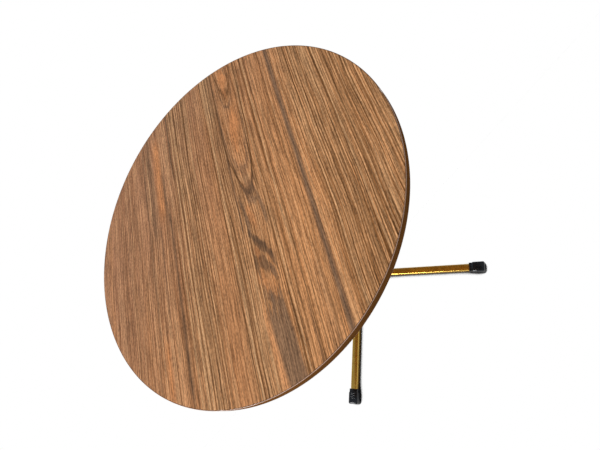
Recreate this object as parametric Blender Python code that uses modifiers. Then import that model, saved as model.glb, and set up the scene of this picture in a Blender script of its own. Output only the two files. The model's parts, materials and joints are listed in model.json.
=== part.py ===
"""Round side table: a laminated disc on a column that is clamped between two welded crosses.

Metres, +Z up. The origin is on the floor, on the column's axis, and the arms lie along X and Y.
"""

import math

import bmesh
import bpy
from mathutils import Matrix

# Overall sizes
TABLE_HEIGHT = 0.500
TOP_DIAMETER = 0.600
# From the column's axis to the outer face of a foot cap, and to that of a top arm's plug
BASE_REACH = 0.295
TOP_ARM_REACH = 0.200

# Table top
CORE_THICKNESS = 0.013
LAMINATE_THICKNESS = 0.0007
EDGE_BAND_THICKNESS = 0.001
EDGE_BAND_ROUNDING = 0.0007

# Square tube of the arms
TUBE_SIDE = 0.015
TUBE_WALL = 0.0012
TUBE_CORNER_RADIUS = 0.0018

# Hubs: a short square sleeve that the arms are welded to, and a round plate on it
HUB_SIDE = 0.050
HUB_WALL = 0.003
HUB_CORNER_RADIUS = 0.004
HUB_PLATE_DIAMETER = 0.076
HUB_PLATE_THICKNESS = 0.004
HUB_PLATE_ROUNDING = 0.001

# Column, and the discs that centre it on the plates
COLUMN_DIAMETER = 0.050
COLUMN_WALL = 0.0015
LOCATOR_THICKNESS = 0.006

# Tie rod, nuts and washers
ROD_DIAMETER = 0.008
ROD_HOLE_CLEARANCE = 0.0005
ROD_PAST_NUT = 0.0015
NUT_ACROSS_FLATS = 0.013
NUT_HEIGHT = 0.0065
WASHER_DIAMETER = 0.020
WASHER_THICKNESS = 0.0016

# Foot caps, which slip over the base arms' ends
CAP_LENGTH = 0.032
CAP_WALL = 0.003
CAP_ROUNDING = 0.003
CAP_COLLAR_LENGTH = 0.006
CAP_COLLAR_STEP = 0.0015
CAP_COLLAR_ROUNDING = 0.0008

# Plugs in the top arms' ends
PLUG_HEAD_THICKNESS = 0.002
PLUG_HEAD_ROUNDING = 0.0008
PLUG_STEM_LENGTH = 0.010

# Wood screws, from the underside of the top arms up into the core
SCREW_DIAMETER = 0.004
SCREW_TIP_LENGTH = 0.004
SCREW_HEAD_DIAMETER = 0.008
SCREW_HEAD_HEIGHT = 0.0026
SCREW_RECESS_WIDTH = 0.0012
SCREW_RECESS_LENGTH = 0.0044
SCREW_RECESS_DEPTH = 0.0013
# How far a screw enters the core, as a share of the core's thickness
SCREW_BITE_SHARE = 0.65
# From the hub to the inner screw, and from the plug's stem to the outer one
INNER_SCREW_INSET = 0.045
OUTER_SCREW_INSET = 0.010

# Clearances
SEAT_GAP = 0.0003
CUT_OVERRUN = 0.002
MERGE_DISTANCE = 0.00001

# Facets
BOARD_STEPS = 128
COLUMN_STEPS = 64
PLATE_STEPS = 40
SMALL_STEPS = 24
SCREW_STEPS = 16
TURNED_CORNER_STEPS = 3
BAR_CORNER_STEPS = 3
QUARTER_TURN = math.pi / 2
SHARP_ANGLE = math.radians(35)

ORIGIN = (0.0, 0.0, 0.0)
SIDES = ("right", "back", "left", "front")

# Radii and places worked out from the sizes
CORE_RADIUS = TOP_DIAMETER / 2 - EDGE_BAND_THICKNESS - SEAT_GAP
BOARD_THICKNESS = CORE_THICKNESS + 2 * (LAMINATE_THICKNESS + SEAT_GAP)
CAP_SIDE = TUBE_SIDE + 2 * (SEAT_GAP + CAP_WALL)
ARM_START = HUB_SIDE / 2 + SEAT_GAP
BASE_ARM_END = BASE_REACH - CAP_WALL - SEAT_GAP
TOP_ARM_END = TOP_ARM_REACH - PLUG_HEAD_THICKNESS - SEAT_GAP
ROD_HOLE_RADIUS = ROD_DIAMETER / 2 + ROD_HOLE_CLEARANCE
SCREW_HOLE_RADIUS = SCREW_DIAMETER / 2 + SEAT_GAP
SCREW_REACHES = (
    ARM_START + INNER_SCREW_INSET,
    TOP_ARM_END - PLUG_STEM_LENGTH - OUTER_SCREW_INSET,
)

# Heights above the floor, from the foot caps up
BASE_ARM_AXIS_Z = CAP_SIDE / 2
BASE_PLATE_Z = BASE_ARM_AXIS_Z + TUBE_SIDE / 2 + SEAT_GAP
COLUMN_BOTTOM_Z = BASE_PLATE_Z + HUB_PLATE_THICKNESS + SEAT_GAP

# Heights above the floor, from the table top down
BOARD_BOTTOM_Z = TABLE_HEIGHT - BOARD_THICKNESS
TOP_ARM_AXIS_Z = BOARD_BOTTOM_Z - SEAT_GAP - TUBE_SIDE / 2
TOP_PLATE_Z = TOP_ARM_AXIS_Z - TUBE_SIDE / 2 - SEAT_GAP - HUB_PLATE_THICKNESS
COLUMN_TOP_Z = TOP_PLATE_Z - SEAT_GAP

# The core lies on the backing. A screw's tip is a bite above the core's underside.
CORE_ABOVE_BOARD_BOTTOM = LAMINATE_THICKNESS + SEAT_GAP
SCREW_TIP_ABOVE_BOARD_BOTTOM = CORE_ABOVE_BOARD_BOTTOM + SCREW_BITE_SHARE * CORE_THICKNESS
SCREW_LENGTH = 2 * SEAT_GAP + TUBE_SIDE + SCREW_TIP_ABOVE_BOARD_BOTTOM

# The rod's lower washer and nut hang under the base plate, and its upper ones stand on the top plate.
LOWER_WASHER_Z = BASE_PLATE_Z - SEAT_GAP - WASHER_THICKNESS
LOWER_NUT_Z = LOWER_WASHER_Z - SEAT_GAP - NUT_HEIGHT
UPPER_WASHER_Z = TOP_PLATE_Z + HUB_PLATE_THICKNESS + SEAT_GAP
UPPER_NUT_Z = UPPER_WASHER_Z + WASHER_THICKNESS + SEAT_GAP
ROD_BOTTOM_Z = LOWER_NUT_Z - ROD_PAST_NUT
ROD_TOP_Z = UPPER_NUT_Z + NUT_HEIGHT + ROD_PAST_NUT


def clear_scene():
    for item in list(bpy.data.objects):
        bpy.data.objects.remove(item, do_unlink=True)


def add_collection(name):
    collection = bpy.data.collections.new(name)
    bpy.context.scene.collection.children.link(collection)
    return collection


def add_material(name, colour, roughness, metallic=0.0):
    material = bpy.data.materials.new(name)
    material.use_nodes = True
    shader = material.node_tree.nodes["Principled BSDF"]
    shader.inputs["Base Color"].default_value = (*colour, 1.0)
    shader.inputs["Roughness"].default_value = roughness
    shader.inputs["Metallic"].default_value = metallic
    material.diffuse_color = (*colour, 1.0)
    return material


clear_scene()
PARTS = add_collection("round_side_table")
CUTTERS = add_collection("cutters")

LAMINATE = add_material("wood_grain_laminate", (0.34, 0.16, 0.065), 0.42)
BACKING = add_material("light_brown_backing_laminate", (0.42, 0.26, 0.12), 0.5)
EDGING = add_material("dark_edge_band", (0.075, 0.032, 0.011), 0.38)
CHIPBOARD = add_material("chipboard", (0.52, 0.38, 0.22), 0.85)
BRASS = add_material("brass_plating", (0.78, 0.47, 0.14), 0.2, 1.0)
ZINC = add_material("zinc_plated_steel", (0.55, 0.56, 0.57), 0.35, 1.0)
BLACK_RUBBER = add_material("black_rubber", (0.008, 0.008, 0.01), 0.28)
BLACK_PLASTIC = add_material("black_plastic", (0.012, 0.012, 0.012), 0.45)


def as_mesh(name, shape):
    """Turns a finished bmesh into a mesh and frees it."""
    mesh = bpy.data.meshes.new(name)
    shape.to_mesh(mesh)
    shape.free()
    return mesh


def box_mesh(name, x_range, side):
    """A box along X with a square section, centred on the X axis."""
    start, end = x_range
    place = Matrix.Translation(((start + end) / 2, 0.0, 0.0))
    size = Matrix.Diagonal((end - start, side, side, 1.0))
    shape = bmesh.new()
    bmesh.ops.create_cube(shape, size=1.0, matrix=place @ size)
    return as_mesh(name, shape)


def add_blank(name, mesh):
    """An object to shape with modifiers. finished_mesh turns it into a mesh."""
    blank = bpy.data.objects.new(name, mesh)
    PARTS.objects.link(blank)
    return blank


def add_cutter(name, mesh):
    cutter = bpy.data.objects.new(name, mesh)
    cutter.hide_render = True
    cutter.display_type = "WIRE"
    CUTTERS.objects.link(cutter)
    return cutter


def combine(blank, other, operation):
    boolean = blank.modifiers.new(other.name, "BOOLEAN")
    boolean.operation = operation
    boolean.solver = "EXACT"
    boolean.object = other


def round_edges(blank, radius, steps=BAR_CORNER_STEPS):
    bevel = blank.modifiers.new("rounding", "BEVEL")
    bevel.width = radius
    bevel.segments = steps
    bevel.limit_method = "ANGLE"


def finished_mesh(blank):
    """The blank's mesh with its modifiers in it, its round faces shaded smooth. The blank is removed."""
    graph = bpy.context.evaluated_depsgraph_get()
    mesh = bpy.data.meshes.new_from_object(blank.evaluated_get(graph))
    mesh.name = blank.name
    mesh.shade_smooth()
    mesh.set_sharp_from_angle(angle=SHARP_ANGLE)
    bpy.data.objects.remove(blank)
    return mesh


def add_piece(name, mesh, material, location=ORIGIN, turn=0.0, carrier=None):
    """Places a finished mesh. The location is in the carrier's frame where it has one."""
    if not mesh.materials:
        mesh.materials.append(material)
    piece = bpy.data.objects.new(name, mesh)
    piece.location = location
    piece.rotation_euler.z = turn
    piece.parent = carrier
    PARTS.objects.link(piece)
    return piece


def add_on_each_side(stem, mesh, material, height):
    """Four copies of a mesh that lies along +X, turned about the column's axis."""
    return [
        add_piece(f"{stem}_{side}", mesh, material, (0.0, 0.0, height), index * QUARTER_TURN)
        for index, side in enumerate(SIDES)
    ]


def add_on_each_arm(stem, mesh, material, arms, location):
    """One copy of a mesh on each arm, at the same place in the arm's frame."""
    for arm, side in zip(arms, SIDES):
        add_piece(f"{stem}_{side}", mesh, material, location, carrier=arm)


def rounded_rim(radius, height, rounding):
    """Points down the outer side of a turned piece that stands on z = 0, with both corners rounded."""
    points = []
    for centre_z, first_angle in ((height - rounding, QUARTER_TURN), (rounding, 0.0)):
        for step in range(TURNED_CORNER_STEPS + 1):
            angle = first_angle - QUARTER_TURN * step / TURNED_CORNER_STEPS
            x = radius - rounding + rounding * math.cos(angle)
            points.append((x, centre_z + rounding * math.sin(angle)))
    return points


def plain_rim(radius, height):
    return [(radius, height), (radius, 0.0)]


def turned_blank(name, rim, steps, bore_radius=0.0):
    """Turns a rim about Z, with a bore through the middle or closed on the axis."""
    profile = [(bore_radius, rim[0][1]), *rim, (bore_radius, rim[-1][1])]
    edges = [(index, index + 1) for index in range(len(profile) - 1)]
    if bore_radius:
        edges.append((len(profile) - 1, 0))
    mesh = bpy.data.meshes.new(name)
    mesh.from_pydata([(x, 0.0, z) for x, z in profile], edges, [])
    blank = add_blank(name, mesh)
    screw = blank.modifiers.new("turning", "SCREW")
    screw.steps = steps
    screw.render_steps = steps
    screw.use_merge_vertices = True
    screw.merge_threshold = MERGE_DISTANCE
    return blank


def pins_mesh(name, places, radius, steps, z_range):
    """Upright pins, one at each (x, y) place."""
    bottom, top = z_range
    shape = bmesh.new()
    for x, y in places:
        bmesh.ops.create_cone(
            shape,
            cap_ends=True,
            segments=steps,
            radius1=radius,
            radius2=radius,
            depth=top - bottom,
            matrix=Matrix.Translation((x, y, (bottom + top) / 2)),
        )
    return as_mesh(name, shape)


def square_tube_mesh(name, x_range, side, wall, corner_radius):
    """A square tube along X, open at both ends. Its corners' outer radius stays larger than the wall."""
    mesh = box_mesh(name, x_range, side)
    shape = bmesh.new()
    shape.from_mesh(mesh)
    ends = [face for face in shape.faces if abs(face.normal.x) > abs(face.normal.y) + abs(face.normal.z)]
    bmesh.ops.delete(shape, geom=ends, context="FACES_ONLY")
    shape.to_mesh(mesh)
    shape.free()
    blank = add_blank(name, mesh)
    round_edges(blank, max(corner_radius, wall + SEAT_GAP))
    shell = blank.modifiers.new("wall", "SOLIDIFY")
    shell.thickness = wall
    shell.offset = -1.0
    shell.use_even_offset = True
    return finished_mesh(blank)


def screw_places():
    """(x, y) of each wood screw, on the centre lines of the top arms."""
    return [
        (reach * math.cos(index * QUARTER_TURN), reach * math.sin(index * QUARTER_TURN))
        for index in range(len(SIDES))
        for reach in SCREW_REACHES
    ]


def build_table_top():
    """The core between two laminates, and the band round them. Screw holes run up into the core."""
    hole_top = SCREW_TIP_ABOVE_BOARD_BOTTOM + SEAT_GAP
    reach = (-CUT_OVERRUN, hole_top)
    holes = pins_mesh("pilot_holes", screw_places(), SCREW_HOLE_RADIUS, SCREW_STEPS, reach)
    pilot_holes = add_cutter("pilot_holes", holes)
    pilot_holes.location.z = BOARD_BOTTOM_Z

    core_z = BOARD_BOTTOM_Z + CORE_ABOVE_BOARD_BOTTOM
    laminate_z = core_z + CORE_THICKNESS + SEAT_GAP
    layers = (
        ("bottom_backing", LAMINATE_THICKNESS, BOARD_BOTTOM_Z, BACKING, True),
        ("core_board", CORE_THICKNESS, core_z, CHIPBOARD, True),
        ("top_laminate", LAMINATE_THICKNESS, laminate_z, LAMINATE, False),
    )
    for name, thickness, height, material, has_holes in layers:
        blank = turned_blank(f"{name}_disc", plain_rim(CORE_RADIUS, thickness), BOARD_STEPS)
        blank.location.z = height
        if has_holes:
            combine(blank, pilot_holes, "DIFFERENCE")
        add_piece(name, finished_mesh(blank), material, (0.0, 0.0, height))

    band_rim = rounded_rim(TOP_DIAMETER / 2, BOARD_THICKNESS, EDGE_BAND_ROUNDING)
    band = turned_blank("edge_band_ring", band_rim, BOARD_STEPS, CORE_RADIUS + SEAT_GAP)
    add_piece("edge_band", finished_mesh(band), EDGING, (0.0, 0.0, BOARD_BOTTOM_Z))


def hub_sleeve_mesh():
    """A short square tube along X, as tall as the arms are. It is stood upright when it is placed."""
    ends = (-TUBE_SIDE / 2, TUBE_SIDE / 2)
    return square_tube_mesh("hub_sleeve", ends, HUB_SIDE, HUB_WALL, HUB_CORNER_RADIUS)


def build_hubs():
    """Each hub's sleeve and plate. The base plate lies on its sleeve, the top plate under its own."""
    sleeve = hub_sleeve_mesh()
    plate_rim = rounded_rim(HUB_PLATE_DIAMETER / 2, HUB_PLATE_THICKNESS, HUB_PLATE_ROUNDING)
    plate = finished_mesh(turned_blank("hub_plate", plate_rim, PLATE_STEPS, ROD_HOLE_RADIUS))
    for level, sleeve_z, plate_z in (
        ("base", BASE_ARM_AXIS_Z, BASE_PLATE_Z),
        ("top", TOP_ARM_AXIS_Z, TOP_PLATE_Z),
    ):
        upright = add_piece(f"{level}_hub_sleeve", sleeve, BRASS, (0.0, 0.0, sleeve_z))
        upright.rotation_euler.y = QUARTER_TURN
        add_piece(f"{level}_hub_plate", plate, BRASS, (0.0, 0.0, plate_z))


def foot_cap_mesh():
    """A cap along X, open at x = 0, with a narrower collar there and a square pocket for the tube."""
    body = add_blank("foot_cap", box_mesh("foot_cap", (CAP_COLLAR_LENGTH, CAP_LENGTH), CAP_SIDE))
    round_edges(body, CAP_ROUNDING)

    collar_range = (0.0, CAP_COLLAR_LENGTH + 2 * CAP_ROUNDING)
    collar_side = CAP_SIDE - 2 * CAP_COLLAR_STEP
    collar = add_cutter("foot_cap_collar", box_mesh("foot_cap_collar", collar_range, collar_side))
    round_edges(collar, CAP_COLLAR_ROUNDING)
    combine(body, collar, "UNION")

    pocket_range = (-CUT_OVERRUN, CAP_LENGTH - CAP_WALL)
    pocket_side = TUBE_SIDE + 2 * SEAT_GAP
    pocket = add_cutter("foot_cap_pocket", box_mesh("foot_cap_pocket", pocket_range, pocket_side))
    combine(body, pocket, "DIFFERENCE")
    return finished_mesh(body)


def build_base_cross():
    """Four arms welded to the base hub's sleeve, each with a cap that it stands on."""
    ends = (ARM_START, BASE_ARM_END)
    tube = square_tube_mesh("base_arm", ends, TUBE_SIDE, TUBE_WALL, TUBE_CORNER_RADIUS)
    arms = add_on_each_side("base_arm", tube, BRASS, BASE_ARM_AXIS_Z)
    cap_place = (BASE_REACH - CAP_LENGTH, 0.0, 0.0)
    add_on_each_arm("foot_cap", foot_cap_mesh(), BLACK_RUBBER, arms, cap_place)


def plug_mesh():
    """A flat head over the tube's end, at x = 0 and beyond, with a stem back into the tube."""
    head = add_blank("arm_plug", box_mesh("arm_plug", (0.0, PLUG_HEAD_THICKNESS), TUBE_SIDE))
    round_edges(head, PLUG_HEAD_ROUNDING, 2)
    stem_range = (-SEAT_GAP - PLUG_STEM_LENGTH, PLUG_HEAD_THICKNESS / 2)
    stem_side = TUBE_SIDE - 2 * (TUBE_WALL + SEAT_GAP)
    stem = add_cutter("arm_plug_stem", box_mesh("arm_plug_stem", stem_range, stem_side))
    round_edges(stem, TUBE_CORNER_RADIUS)
    combine(head, stem, "UNION")
    return finished_mesh(head)


def wood_screw_mesh():
    """A pan-head screw that points up, with the seat of its head at z = 0 and a cross recess below."""
    shank = SCREW_DIAMETER / 2
    head = SCREW_HEAD_DIAMETER / 2
    dome = SCREW_HEAD_HEIGHT / 2
    profile = [
        (0.0, SCREW_LENGTH),
        (shank, SCREW_LENGTH - SCREW_TIP_LENGTH),
        (shank, 0.0),
        (head, 0.0),
    ]
    for step in range(TURNED_CORNER_STEPS):
        angle = QUARTER_TURN * step / TURNED_CORNER_STEPS
        profile.append((head - dome + dome * math.cos(angle), -dome - dome * math.sin(angle)))
    profile.append((head - dome, -SCREW_HEAD_HEIGHT))
    blank = turned_blank("wood_screw", profile, SCREW_STEPS)

    depth_range = (-SCREW_HEAD_HEIGHT - CUT_OVERRUN, -SCREW_HEAD_HEIGHT + SCREW_RECESS_DEPTH)
    height = depth_range[1] - depth_range[0]
    slot_size = Matrix.Diagonal((SCREW_RECESS_LENGTH, SCREW_RECESS_WIDTH, height, 1.0))
    slot_place = Matrix.Translation((0.0, 0.0, sum(depth_range) / 2))
    for index in range(2):
        shape = bmesh.new()
        turn = Matrix.Rotation(index * QUARTER_TURN, 4, "Z")
        bmesh.ops.create_cube(shape, size=1.0, matrix=slot_place @ turn @ slot_size)
        slot = add_cutter(f"screw_slot_{index + 1}", as_mesh("screw_slot", shape))
        combine(blank, slot, "DIFFERENCE")
    return finished_mesh(blank)


def build_top_cross():
    """Four shorter arms welded to the top hub's sleeve, each plugged, and screwed to the board twice."""
    ends = (ARM_START, TOP_ARM_END)
    whole = square_tube_mesh("top_arm", ends, TUBE_SIDE, TUBE_WALL, TUBE_CORNER_RADIUS)
    blank = add_blank("top_arm", whole)
    half_height = TUBE_SIDE / 2 + CUT_OVERRUN
    places = [(reach, 0.0) for reach in SCREW_REACHES]
    reach = (-half_height, half_height)
    pins = pins_mesh("arm_screw_holes", places, SCREW_HOLE_RADIUS, SCREW_STEPS, reach)
    combine(blank, add_cutter("arm_screw_holes", pins), "DIFFERENCE")
    arms = add_on_each_side("top_arm", finished_mesh(blank), BRASS, TOP_ARM_AXIS_Z)
    add_on_each_arm("arm_plug", plug_mesh(), BLACK_PLASTIC, arms, (TOP_ARM_END + SEAT_GAP, 0.0, 0.0))

    screw = wood_screw_mesh()
    head_z = -TUBE_SIDE / 2 - SEAT_GAP
    for row, reach in zip(("inner", "outer"), SCREW_REACHES):
        add_on_each_arm(f"wood_screw_{row}", screw, ZINC, arms, (reach, 0.0, head_z))


def build_column():
    """The tube, and a disc inside each end that centres it on the hub's plate."""
    height = COLUMN_TOP_Z - COLUMN_BOTTOM_Z
    bore_radius = COLUMN_DIAMETER / 2 - COLUMN_WALL
    tube = turned_blank("column", plain_rim(COLUMN_DIAMETER / 2, height), COLUMN_STEPS, bore_radius)
    add_piece("column_tube", finished_mesh(tube), BRASS, (0.0, 0.0, COLUMN_BOTTOM_Z))

    locator_rim = plain_rim(bore_radius - SEAT_GAP, LOCATOR_THICKNESS)
    locator = finished_mesh(turned_blank("locator", locator_rim, PLATE_STEPS, ROD_HOLE_RADIUS))
    add_piece("lower_column_locator", locator, ZINC, (0.0, 0.0, COLUMN_BOTTOM_Z))
    add_piece("upper_column_locator", locator, ZINC, (0.0, 0.0, COLUMN_TOP_Z - LOCATOR_THICKNESS))


def hex_nut_mesh():
    """A hexagon with a bore, standing on z = 0."""
    corner_radius = NUT_ACROSS_FLATS / 2 / math.cos(math.pi / 6)
    blank = add_blank("hex_nut", pins_mesh("hex_nut", [(0.0, 0.0)], corner_radius, 6, (0.0, NUT_HEIGHT)))
    bore_radius = ROD_DIAMETER / 2 + SEAT_GAP
    bore_range = (-CUT_OVERRUN, NUT_HEIGHT + CUT_OVERRUN)
    bore = pins_mesh("nut_bore", [(0.0, 0.0)], bore_radius, SMALL_STEPS, bore_range)
    combine(blank, add_cutter("nut_bore", bore), "DIFFERENCE")
    return finished_mesh(blank)


def build_tie_rod():
    """The rod through both hubs and the column, with a washer and a nut at each end."""
    rod_rim = plain_rim(ROD_DIAMETER / 2, ROD_TOP_Z - ROD_BOTTOM_Z)
    rod = finished_mesh(turned_blank("rod", rod_rim, SMALL_STEPS))
    add_piece("tie_rod", rod, ZINC, (0.0, 0.0, ROD_BOTTOM_Z))

    washer_rim = plain_rim(WASHER_DIAMETER / 2, WASHER_THICKNESS)
    washer = finished_mesh(turned_blank("washer", washer_rim, SMALL_STEPS, ROD_HOLE_RADIUS))
    nut = hex_nut_mesh()
    add_piece("lower_washer", washer, ZINC, (0.0, 0.0, LOWER_WASHER_Z))
    add_piece("upper_washer", washer, ZINC, (0.0, 0.0, UPPER_WASHER_Z))
    add_piece("lower_nut", nut, ZINC, (0.0, 0.0, LOWER_NUT_Z))
    add_piece("upper_nut", nut, ZINC, (0.0, 0.0, UPPER_NUT_Z))


build_base_cross()
build_hubs()
build_column()
build_tie_rod()
build_top_cross()
build_table_top()
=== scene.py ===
"""Looks of the round side table: its finishes, its small details, a plain studio and the camera.

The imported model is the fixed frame. Each operator dresses one piece or one group of like pieces.
"""

import json
import math
from contextlib import contextmanager

import bmesh
import bpy
from bpy.props import FloatProperty, FloatVectorProperty, IntProperty, PointerProperty
from mathutils import Matrix, Vector

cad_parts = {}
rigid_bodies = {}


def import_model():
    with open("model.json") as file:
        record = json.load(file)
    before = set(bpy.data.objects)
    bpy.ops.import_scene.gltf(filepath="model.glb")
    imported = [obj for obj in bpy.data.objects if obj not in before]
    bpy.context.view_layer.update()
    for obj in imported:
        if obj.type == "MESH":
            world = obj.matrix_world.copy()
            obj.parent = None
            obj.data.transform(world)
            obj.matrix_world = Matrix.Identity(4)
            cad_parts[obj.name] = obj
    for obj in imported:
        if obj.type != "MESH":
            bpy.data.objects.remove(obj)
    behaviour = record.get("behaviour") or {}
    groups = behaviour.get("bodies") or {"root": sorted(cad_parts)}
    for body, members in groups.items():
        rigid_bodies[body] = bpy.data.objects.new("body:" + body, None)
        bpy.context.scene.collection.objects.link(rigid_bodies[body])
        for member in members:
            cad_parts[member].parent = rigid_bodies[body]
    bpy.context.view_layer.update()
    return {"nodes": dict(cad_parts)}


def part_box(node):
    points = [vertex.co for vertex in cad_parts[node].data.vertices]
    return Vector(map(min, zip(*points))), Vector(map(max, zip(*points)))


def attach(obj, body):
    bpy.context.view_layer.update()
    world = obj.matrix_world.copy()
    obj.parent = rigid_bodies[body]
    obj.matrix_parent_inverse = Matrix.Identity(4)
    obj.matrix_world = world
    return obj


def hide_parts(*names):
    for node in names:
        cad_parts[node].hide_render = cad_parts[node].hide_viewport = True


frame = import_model()

bl_info = {
    "name": "Round side table looks",
    "version": (1, 0, 0),
    "blender": (4, 5, 0),
    "location": "3D View > Sidebar > Side Table",
    "description": "Finishes, small details, studio and camera for the round side table",
    "category": "Object",
}

BODY = "root"
SIDES = ("right", "back", "left", "front")
QUARTER_TURN = math.pi / 2

# Places that the frame gives, in metres
TOP_LOW, TOP_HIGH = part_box("edge_band")
COLUMN_LOW, COLUMN_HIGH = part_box("column_tube")
BASE_ARM_LOW, BASE_ARM_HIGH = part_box("base_arm_right")
TOP_ARM_LOW, TOP_ARM_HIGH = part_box("top_arm_right")
CAP_LOW, CAP_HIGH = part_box("foot_cap_right")
ROD_LOW, ROD_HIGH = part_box("tie_rod")

TABLE_RADIUS = TOP_HIGH.x
BAND_THICKNESS = 0.001
ROD_RADIUS = ROD_HIGH.x
MERGE_DISTANCE = 0.00001
SMOOTH_ANGLE = math.radians(35.0)
THREAD_STEPS = 24
THREAD_SINK = 0.0001
MILLIMETRES = 1000.0

# The photograph's camera: its place, its turn about X, Y and Z, and its lens on a 36 mm sensor
CAMERA_PLACE = (0.4887, -0.2464, 1.0164)
CAMERA_TURN_DEGREES = (21.845, 31.466, 4.694)
CAMERA_LENS_MM = 27.69
CAMERA_SENSOR_MM = 36.0
CAMERA_SHIFT = (-0.01194, -0.01676)
CAMERA_REACH = 500.0
# The direction that the surroundings' light comes from, about Z
LIT_SIDE = math.radians(235.0)


class TableLaminateSettings(bpy.types.PropertyGroup):
    """Colours and grain of the decorative laminate."""

    tan: FloatVectorProperty(
        name="Tan", description="Ground colour of the grain", subtype="COLOR", size=3,
        min=0.0, max=1.0, default=(0.515, 0.238, 0.091),
    )
    dark: FloatVectorProperty(
        name="Dark line", description="Colour of the thin dark lines", subtype="COLOR", size=3,
        min=0.0, max=1.0, default=(0.105, 0.040, 0.008),
    )
    grey: FloatVectorProperty(
        name="Grey brown", description="Colour of the wide greyish streaks", subtype="COLOR", size=3,
        min=0.0, max=1.0, default=(0.176, 0.104, 0.062),
    )
    orange: FloatVectorProperty(
        name="Orange", description="Colour of the warm flames", subtype="COLOR", size=3,
        min=0.0, max=1.0, default=(0.600, 0.245, 0.092),
    )
    pale: FloatVectorProperty(
        name="Pale line", description="Colour of the thin pale lines", subtype="COLOR", size=3,
        min=0.0, max=1.0, default=(0.700, 0.402, 0.196),
    )
    backing: FloatVectorProperty(
        name="Backing", description="Ground colour of the plainer sheet under the board", subtype="COLOR",
        size=3, min=0.0, max=1.0, default=(0.540, 0.350, 0.140),
    )
    grain_turn: FloatProperty(
        name="Grain turn", description="Turn of the grain's cross direction from X", unit="ROTATION",
        default=math.radians(22.09),
    )
    roughness: FloatProperty(
        name="Roughness", description="Roughness of the satin surface", min=0.0, max=1.0, default=0.40,
    )


class TableMetalSettings(bpy.types.PropertyGroup):
    """Colours of the metal pieces."""

    brass: FloatVectorProperty(
        name="Brass", description="Colour of the brass plating", subtype="COLOR", size=3,
        min=0.0, max=1.0, default=(0.780, 0.490, 0.100),
    )
    zinc: FloatVectorProperty(
        name="Zinc", description="Colour of the zinc-plated fasteners", subtype="COLOR", size=3,
        min=0.0, max=1.0, default=(0.55, 0.56, 0.55),
    )
    bead_radius: FloatProperty(
        name="Weld bead radius", description="Radius of a weld bead", unit="LENGTH",
        min=0.0005, max=0.004, default=0.0015,
    )
    thread_pitch: FloatProperty(
        name="Thread pitch", description="Pitch of the tie rod's thread", unit="LENGTH",
        min=0.0005, max=0.003, default=0.00125,
    )


class TablePlasticSettings(bpy.types.PropertyGroup):
    """Colours of the edge band, the foot caps and the plugs."""

    edging: FloatVectorProperty(
        name="Edge band", description="Colour of the edge band's printed face", subtype="COLOR", size=3,
        min=0.0, max=1.0, default=(0.200, 0.080, 0.021),
    )
    # The corners' pale colour is partly the plastic under the print and partly a painted highlight
    scraped: FloatVectorProperty(
        name="Scraped corner", description="Colour of the edge band's scraped corners", subtype="COLOR",
        size=3, min=0.0, max=1.0, default=(0.600, 0.380, 0.280),
    )
    cap: FloatVectorProperty(
        name="Foot cap", description="Colour of the foot caps", subtype="COLOR", size=3,
        min=0.0, max=1.0, default=(0.0012, 0.0030, 0.0058),
    )
    plug: FloatVectorProperty(
        name="Plug", description="Colour of the plugs in the top arms", subtype="COLOR", size=3,
        min=0.0, max=1.0, default=(0.012, 0.012, 0.013),
    )
    rib_count: IntProperty(
        name="Grip ribs", description="Number of ribs across a foot cap", min=1, max=8, default=4,
    )


class TableStudioSettings(bpy.types.PropertyGroup):
    """Floor, lamp and surroundings."""

    floor_size: FloatProperty(
        name="Floor size", description="Side of the square floor", unit="LENGTH",
        min=5.0, max=500.0, default=160.0,
    )
    floor_white: FloatProperty(
        name="Floor white", description="Share of plain white in the floor that the camera sees",
        subtype="FACTOR", min=0.0, max=1.0, default=1.0,
    )
    key_power: FloatProperty(
        name="Key power", description="Power of the soft lamp", unit="POWER",
        min=0.0, max=2000.0, default=330.0,
    )
    dome_level: FloatProperty(
        name="Dome level", description="Brightness of the surroundings overhead",
        min=0.0, max=2.0, default=0.36,
    )
    horizon_level: FloatProperty(
        name="Horizon level", description="Brightness of the surroundings at eye level, on the lit side",
        min=0.0, max=2.0, default=1.00,
    )
    shade_level: FloatProperty(
        name="Shade level", description="Brightness of the surroundings at eye level, on the other side",
        min=0.0, max=2.0, default=0.28,
    )


def tinted(colour, *shares):
    """A colour whose three parts are multiplied by three shares, or all by the same one."""
    return tuple(part * share for part, share in zip(colour, shares * 3))


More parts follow.
